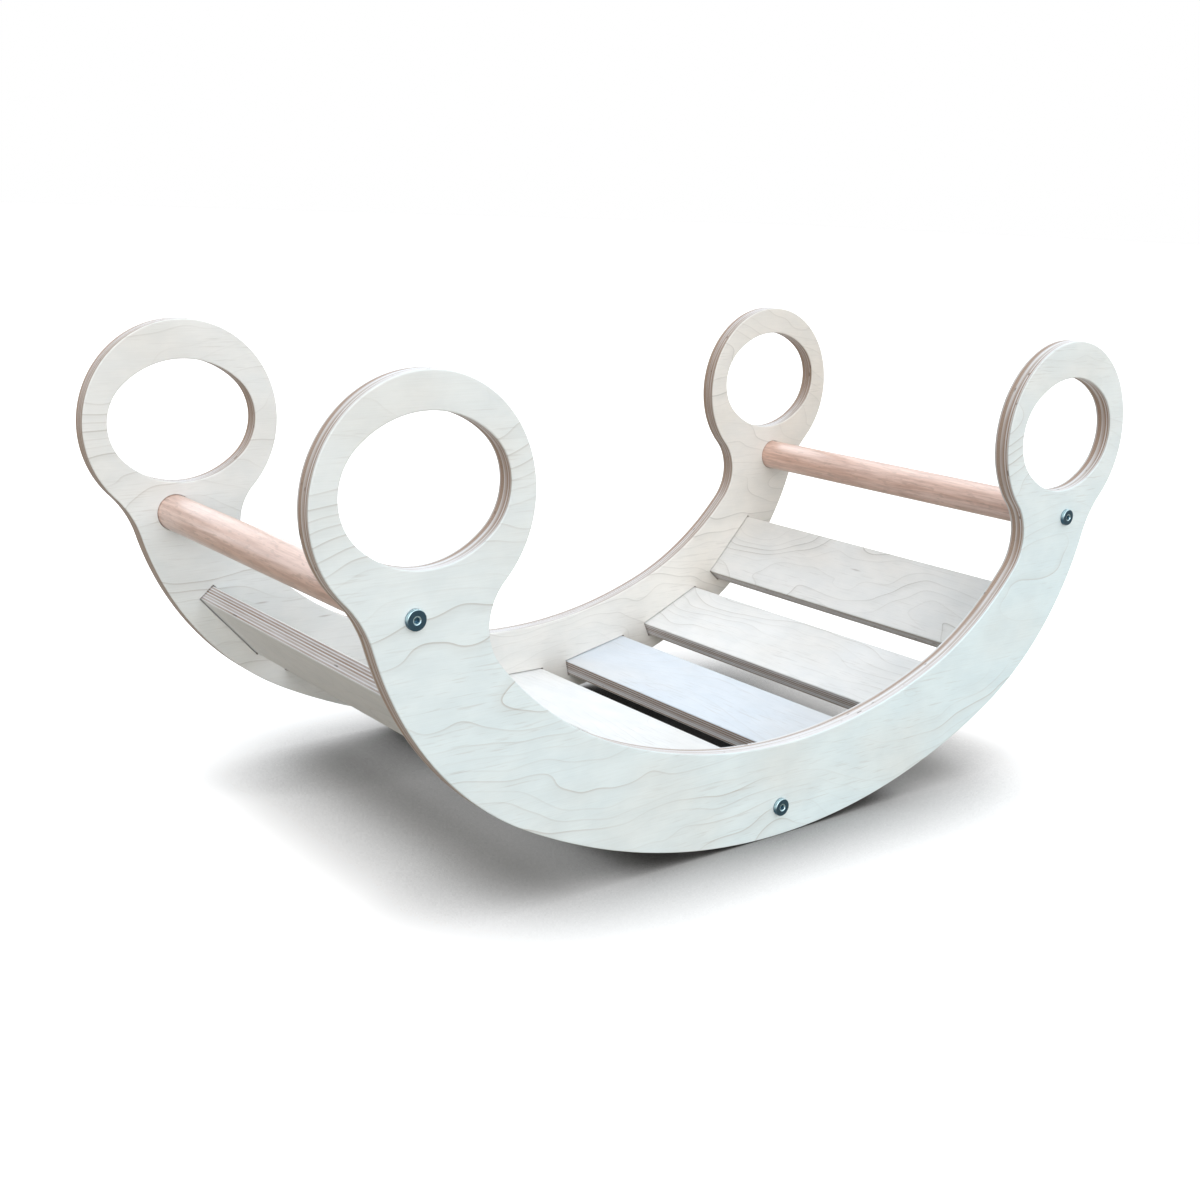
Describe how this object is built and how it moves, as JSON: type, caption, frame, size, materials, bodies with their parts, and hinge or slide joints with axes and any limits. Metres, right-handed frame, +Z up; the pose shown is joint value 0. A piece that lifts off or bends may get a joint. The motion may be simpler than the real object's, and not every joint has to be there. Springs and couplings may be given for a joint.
{
  "type": "rocker arch",
  "caption": "Children's wooden rocker arch: crescent plywood side panels with ring-shaped ends and hand holes, joined by curved rows of seat slats and round handle bars.",
  "frame": {"origin": "middle of the footprint, on the floor under the middle of the rocking edges", "axes": "+X along the length towards the right end, +Y from the front panel to the rear panel, +Z up"},
  "size_m": [0.977, 0.473, 0.4554],
  "materials": {
    "birch_plywood": "clear matt lacquer",
    "beech": "clear matt lacquer",
    "zinc_plated_steel": "satin zinc plating",
    "insert_steel": "plain"
  },
  "bodies": {
    "root": {"side_panel_front": "birch_plywood", "side_panel_rear": "birch_plywood", "slat_left_end": "birch_plywood", "slat_left_outer": "birch_plywood", "slat_left_inner": "birch_plywood", "slat_centre": "birch_plywood", "slat_right_inner": "birch_plywood", "slat_right_outer": "birch_plywood", "slat_right_end": "birch_plywood", "handle_bar_left": "beech", "handle_bar_right": "beech", "panel_bolts": "zinc_plated_steel", "insert_nuts": "insert_steel"}
  },
  "joints": []
}
